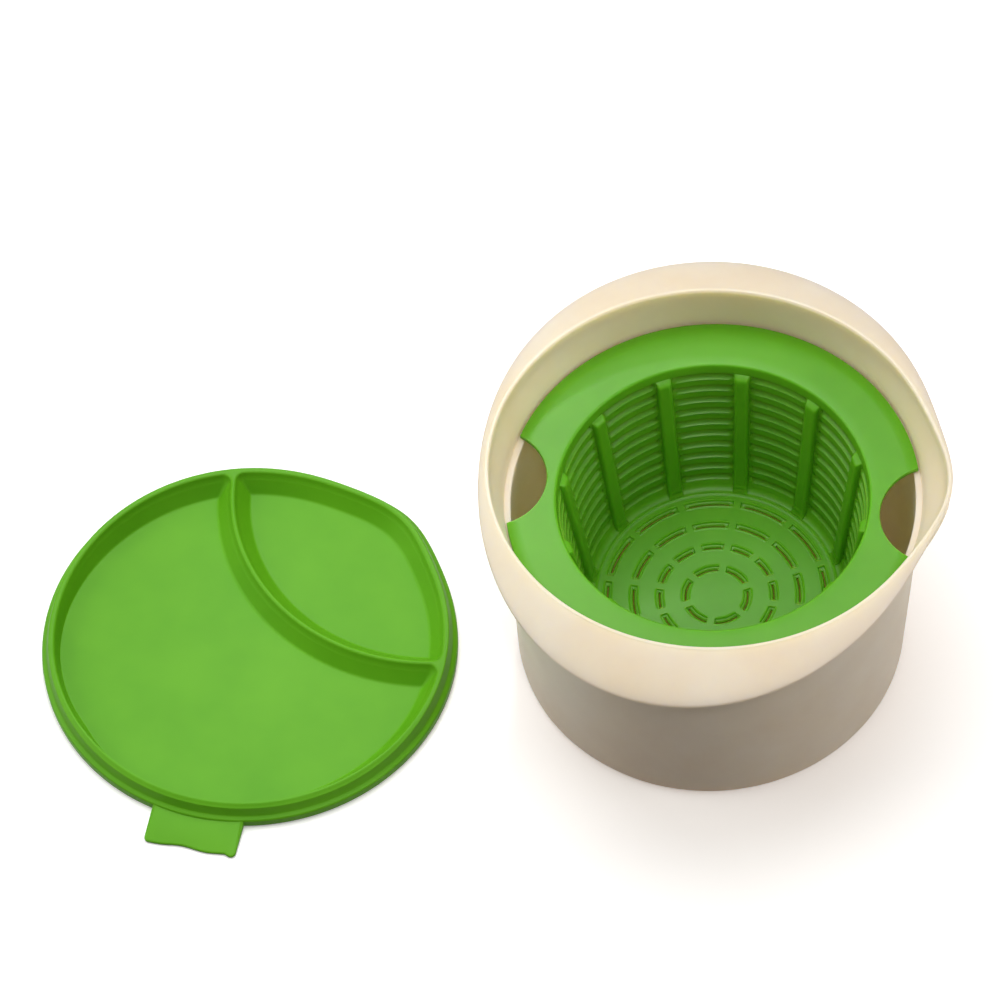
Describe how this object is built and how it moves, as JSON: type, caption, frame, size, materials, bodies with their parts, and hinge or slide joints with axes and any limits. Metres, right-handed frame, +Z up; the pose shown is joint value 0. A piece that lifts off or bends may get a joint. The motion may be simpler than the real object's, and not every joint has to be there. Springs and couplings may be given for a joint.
{
  "type": "fresh cheese draining set",
  "caption": "Spouted kitchen container with a slotted strainer basket hanging inside it and a soft lid that doubles as a divided tray, for draining fresh cheese.",
  "frame": {"origin": "on the table, under the axis of the basket and its seat in the container", "axes": "+Z up out of the container, +X from the basket axis out over the pouring spout, the lid lies towards -X"},
  "size_m": [0.3398, 0.213, 0.112],
  "materials": {
    "cream_polypropylene": "satin moulded",
    "green_polypropylene": "satin moulded",
    "green_silicone": "soft matte moulded"
  },
  "bodies": {
    "container": {"container": "cream_polypropylene"},
    "basket": {"strainer_basket": "green_polypropylene"},
    "lid": {"lid": "green_silicone"}
  },
  "joints": [
    {"name": "basket_lift", "type": "slide", "parent": "container", "child": "basket", "axis": [0, 0, 1], "range_m": [0, 0.12]},
    {"name": "lid_lift", "type": "slide", "parent": "container", "child": "lid", "axis": [0, 0, 1], "range_m": [0, 0.15]}
  ]
}
